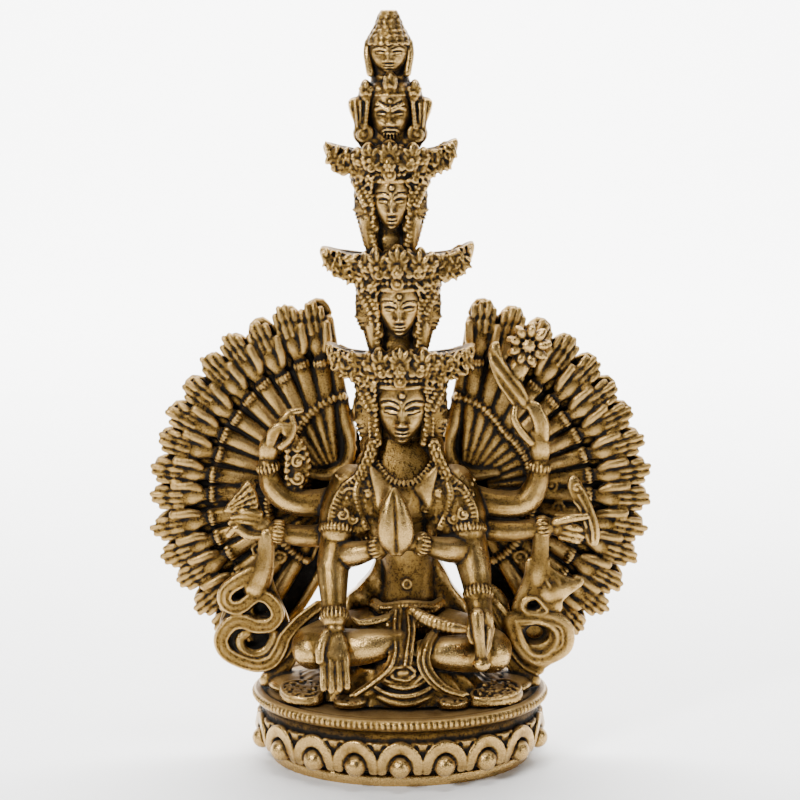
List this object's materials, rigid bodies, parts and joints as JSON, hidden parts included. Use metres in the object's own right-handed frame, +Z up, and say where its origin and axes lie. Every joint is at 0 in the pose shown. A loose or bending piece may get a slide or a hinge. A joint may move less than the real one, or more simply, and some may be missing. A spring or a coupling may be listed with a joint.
{
  "type": "eleven-headed seated deity statue",
  "caption": "Small cast-brass deity statue with a tower of heads, praying hands and two fans of hands, seated on a lotus pedestal.",
  "frame": {"origin": "centre of the pedestal's flat underside", "axes": "+Z up; the figure faces -Y; +X is the viewer's right when seen from the front"},
  "size_m": [0.146, 0.07, 0.2149],
  "materials": {
    "cast_brass": "cast, with a dark patina in the hollows"
  },
  "bodies": {
    "root": {"lotus_pedestal": "cast_brass", "seated_figure": "cast_brass", "hand_fan_left": "cast_brass", "hand_fan_right": "cast_brass"}
  },
  "joints": []
}
